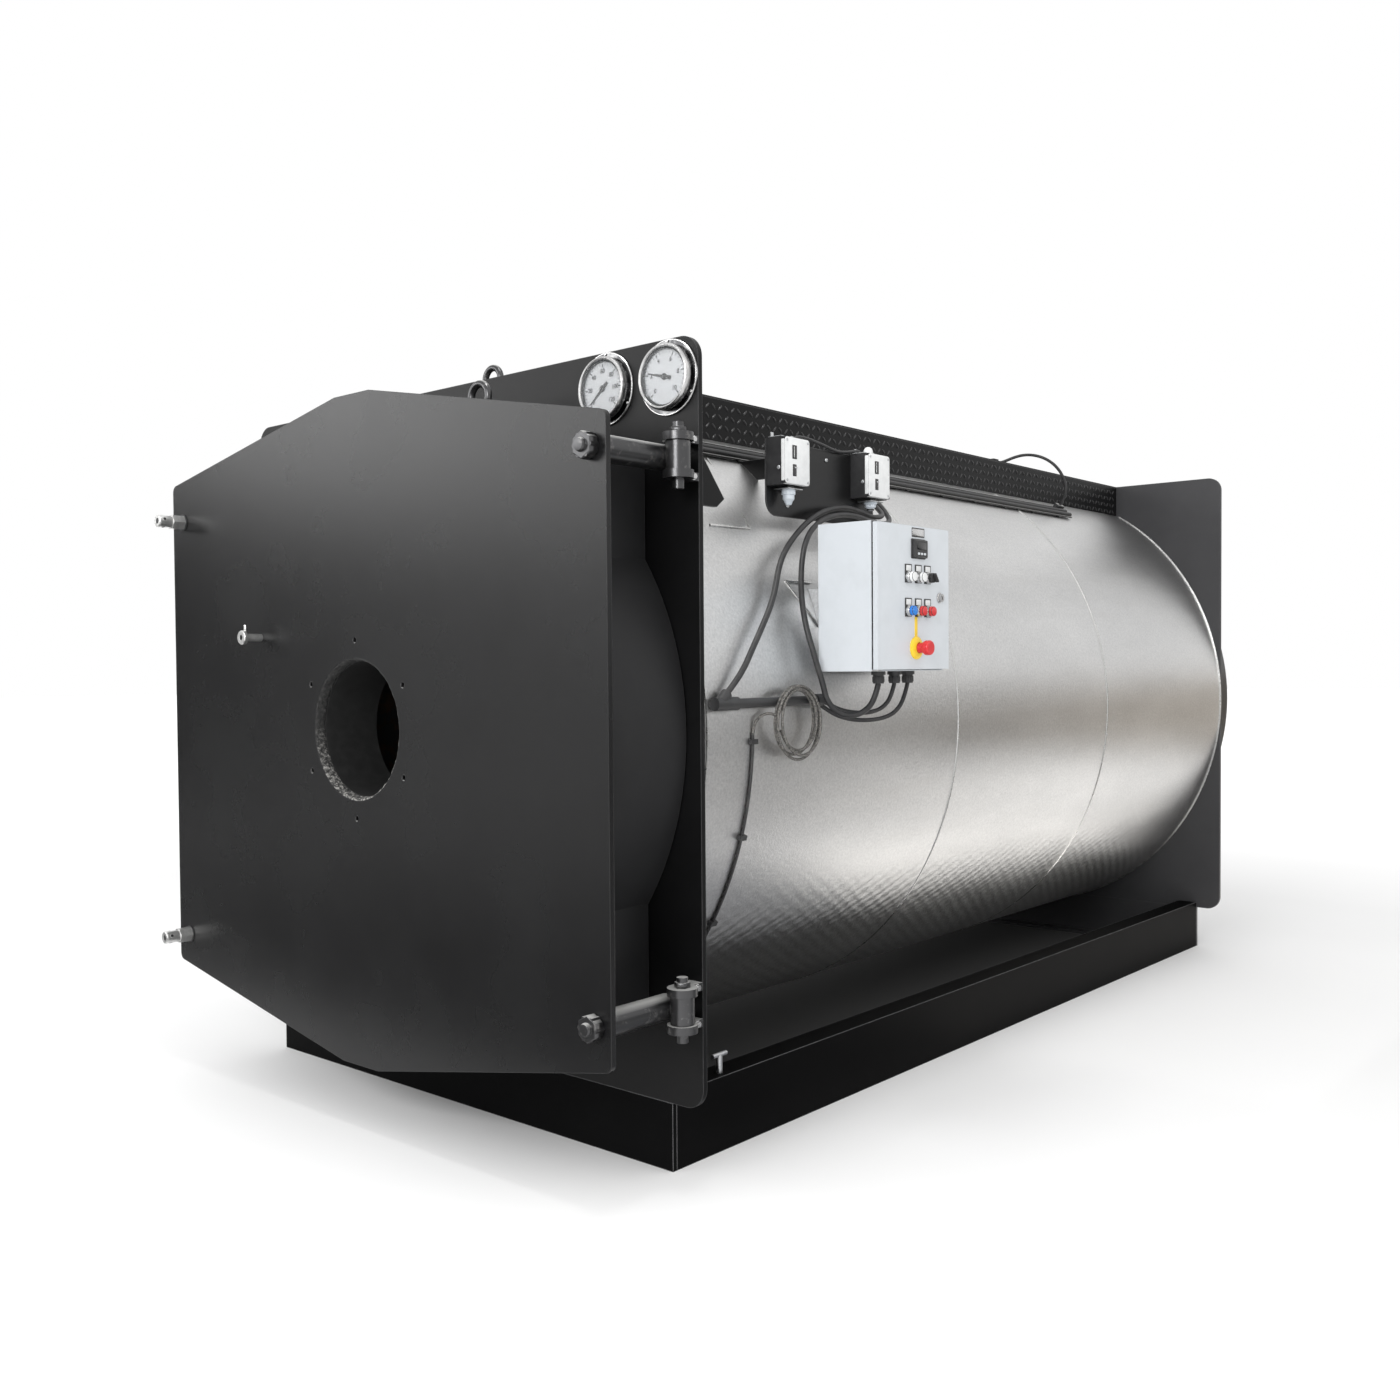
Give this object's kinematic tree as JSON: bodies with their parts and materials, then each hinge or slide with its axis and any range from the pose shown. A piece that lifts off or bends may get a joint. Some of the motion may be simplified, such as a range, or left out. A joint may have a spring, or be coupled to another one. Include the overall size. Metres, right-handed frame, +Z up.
{
  "type": "industrial boiler",
  "caption": "Skid-mounted horizontal hot-water boiler with a hinged burner door, round aluminium jacket, dial gauges and a side control cabinet with its own door.",
  "frame": {"origin": "on the ground, at the middle of the underside of the front skid beam's foot", "axes": "+X to the right seen from the burner door, +Y to the rear along the boiler, +Z up"},
  "size_m": [2.228, 4.262, 2.19],
  "materials": {
    "black_paint": "matt black textured paint",
    "boiler_steel": "scaled boiler plate",
    "jacket_aluminium": "embossed sheet",
    "refractory": "rough cast refractory",
    "bright_steel": "zinc plated or stainless",
    "cabinet_grey": "light grey powder coat",
    "black_plastic": "moulded",
    "stop_red": "moulded",
    "cable_black": "flexible cable sheath"
  },
  "bodies": {
    "boiler": {"cabinet_back_plate": "bright_steel", "cabinet_box": "cabinet_grey", "cabinet_brackets": "bright_steel", "cabinet_hinge_tabs": "bright_steel", "cable_clips": "black_plastic", "cable_glands": "black_plastic", "cable_tray": "bright_steel", "cladding_front": "jacket_aluminium", "cladding_middle": "jacket_aluminium", "cladding_rear": "jacket_aluminium", "clipped_cable": "black_plastic", "closing_bosses": "black_paint", "conduit_pipe": "black_plastic", "deck_lead": "cable_black", "deck_side_left": "black_paint", "deck_side_right": "black_paint", "deck_top": "black_paint", "drain_cock": "bright_steel", "flow_nozzle": "black_paint", "flue_collar": "black_paint", "front_plate": "black_paint", "furnace_tube": "boiler_steel", "gland_lead_front": "cable_black", "gland_lead_rear": "cable_black", "hinge_lugs": "black_paint", "lifting_eyes": "black_paint", "plate_gussets": "black_paint", "pressure_gauge": "bright_steel", "pressure_shell": "boiler_steel", "pressure_switch_front": "black_plastic", "pressure_switch_rear": "black_plastic", "rear_cover": "black_paint", "rear_plate": "black_paint", "rear_smokebox": "black_paint", "return_nozzle": "black_paint", "skid_front_beam": "black_paint", "skid_rail_left": "black_paint", "skid_rail_right": "black_paint", "skid_rear_beam": "black_paint", "smoke_tube_ends": "boiler_steel", "spare_coil": "cable_black", "spare_lead": "cable_black", "switch_bracket": "black_paint", "temperature_gauge": "bright_steel", "tray_cables": "cable_black", "tray_lead_cabinet": "cable_black", "tray_lead_front": "cable_black"},
    "front_door": {"door_plate": "black_paint", "door_casing": "black_paint", "door_lining": "refractory", "hinge_arms": "black_paint", "closing_bolts": "bright_steel", "sight_glass": "bright_steel", "door_eye": "black_paint"},
    "cabinet_door": {"cabinet_panel": "cabinet_grey", "cabinet_controller": "black_plastic", "cabinet_buttons": "black_plastic", "cabinet_lamps": "black_plastic", "emergency_stop": "stop_red", "cabinet_lock": "bright_steel"}
  },
  "joints": [
    {"name": "front_door_hinge", "type": "hinge", "parent": "boiler", "child": "front_door", "pos_m": [0.977, -0.11, 1.11], "axis": [0, 0, 1], "range_deg": [0, 110]},
    {"name": "cabinet_door_hinge", "type": "hinge", "parent": "boiler", "child": "cabinet_door", "pos_m": [1.1875, 0.4295, 1.4575], "axis": [0, 0, -1], "range_deg": [0, 120]}
  ]
}
